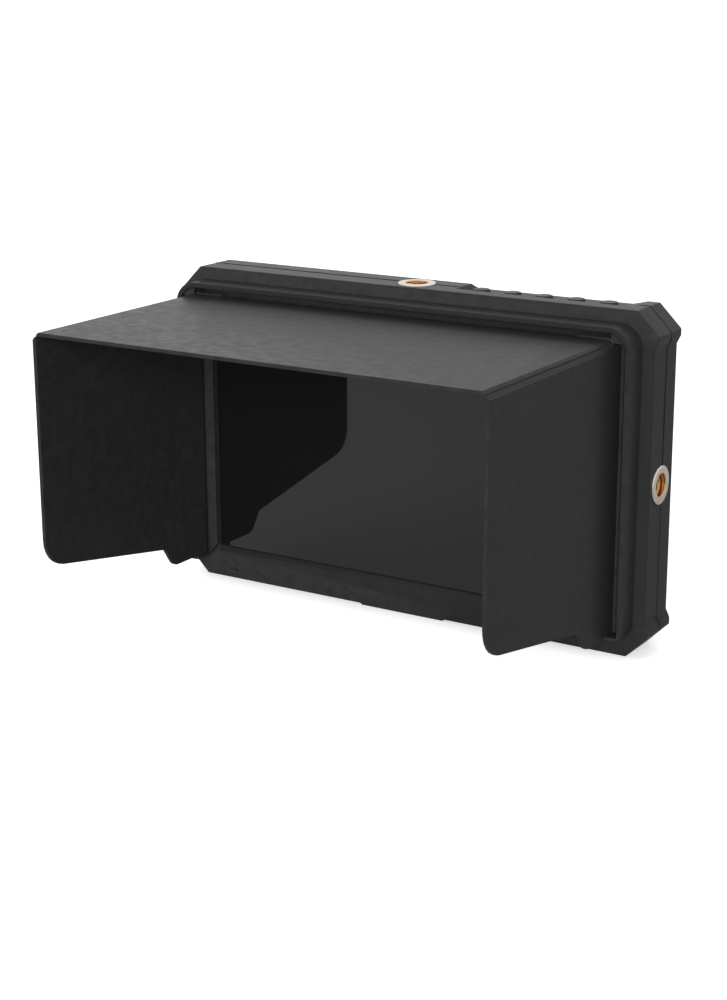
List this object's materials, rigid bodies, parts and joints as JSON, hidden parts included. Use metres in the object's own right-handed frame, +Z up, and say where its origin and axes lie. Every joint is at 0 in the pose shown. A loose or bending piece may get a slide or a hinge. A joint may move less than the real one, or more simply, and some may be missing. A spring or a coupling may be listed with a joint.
{
  "type": "camera field monitor",
  "caption": "Flat camera-top video monitor with a folding three-flap sun hood, brass tripod threads on top, side and base, push buttons and a rear battery plate.",
  "frame": {"origin": "centre of the mouth of the tripod thread in the base", "axes": "+Z up, -Y out of the screen towards the viewer, +X to the right seen from the screen side"},
  "size_m": [0.1352, 0.093, 0.0843],
  "materials": {
    "case_plastic": "fine-textured black moulded plastic",
    "flap_plastic": "fine-textured black moulded plastic",
    "button_plastic": "smooth matt black plastic",
    "socket_plastic": "black moulded plastic",
    "white_plastic": "white plastic",
    "clear_plastic": "clear light guide plastic",
    "release_red": "red moulded plastic",
    "flex_film": "amber polyimide film",
    "board": "green solder resist",
    "gasket": "black foam and adhesive",
    "lcd": "dark polariser over the display",
    "cover_glass": "polished cover glass",
    "brass": "machined brass",
    "steel": "plain steel",
    "black_steel": "blackened steel",
    "aluminium": "natural aluminium"
  },
  "bodies": {
    "housing": {"front_bezel": "case_plastic", "rear_cover": "case_plastic", "hood_frame": "case_plastic", "top_hinge_pins": "steel", "left_hinge_pins": "steel", "right_hinge_pins": "steel", "cover_glass": "cover_glass", "glass_adhesive": "gasket", "screen_gasket": "gasket", "lcd_panel": "lcd", "backlight_unit": "white_plastic", "panel_bracket": "steel", "display_cable": "flex_film", "main_board": "board", "board_standoffs": "brass", "board_screws": "steel", "processor": "socket_plastic", "heat_spreader": "aluminium", "hdmi_in": "steel", "hdmi_out": "steel", "hdmi_tongues": "socket_plastic", "dc_jack": "socket_plastic", "dc_jack_pin": "brass", "headphone_jack": "socket_plastic", "key_board": "board", "key_switches": "steel", "button_cable": "flex_film", "insert_top": "brass", "insert_right": "brass", "insert_bottom": "brass", "status_led": "white_plastic", "status_light_pipe": "clear_plastic", "speaker": "socket_plastic", "battery_plate": "case_plastic", "battery_contacts": "brass", "release_spring": "steel", "plate_screws": "black_steel", "case_screws": "black_steel"},
    "top_flap": {"hood_top_flap": "flap_plastic"},
    "left_flap": {"hood_left_flap": "flap_plastic"},
    "right_flap": {"hood_right_flap": "flap_plastic"},
    "release": {"battery_release": "release_red"},
    "key_1": {"button_1": "button_plastic"},
    "key_2": {"button_2": "button_plastic"},
    "key_3": {"button_3": "button_plastic"},
    "key_4": {"button_4": "button_plastic"},
    "key_5": {"button_5": "button_plastic"}
  },
  "joints": [
    {"name": "top_flap_fold", "type": "hinge", "parent": "housing", "child": "top_flap", "pos_m": [0, -0.0125, 0.07785], "axis": [1, 0, 0], "range_deg": [0, 90]},
    {"name": "left_flap_fold", "type": "hinge", "parent": "housing", "child": "left_flap", "pos_m": [-0.06045, -0.01115, 0.04], "axis": [0, 0, 1], "range_deg": [0, 90]},
    {"name": "right_flap_fold", "type": "hinge", "parent": "housing", "child": "right_flap", "pos_m": [0.06045, -0.0098, 0.04], "axis": [0, 0, -1], "range_deg": [0, 90]},
    {"name": "key_1_press", "type": "slide", "parent": "housing", "child": "key_1", "axis": [0, 0, -1], "range_m": [0, 0.0003], "stiffness_N_per_m": 400},
    {"name": "key_2_press", "type": "slide", "parent": "housing", "child": "key_2", "axis": [0, 0, -1], "range_m": [0, 0.0003], "stiffness_N_per_m": 400},
    {"name": "key_3_press", "type": "slide", "parent": "housing", "child": "key_3", "axis": [0, 0, -1], "range_m": [0, 0.0003], "stiffness_N_per_m": 400},
    {"name": "key_4_press", "type": "slide", "parent": "housing", "child": "key_4", "axis": [0, 0, -1], "range_m": [0, 0.0003], "stiffness_N_per_m": 400},
    {"name": "key_5_press", "type": "slide", "parent": "housing", "child": "key_5", "axis": [0, 0, -1], "range_m": [0, 0.0003], "stiffness_N_per_m": 400},
    {"name": "release_press", "type": "slide", "parent": "housing", "child": "release", "axis": [0, -1, 0], "range_m": [0, 0.0018], "stiffness_N_per_m": 300}
  ]
}
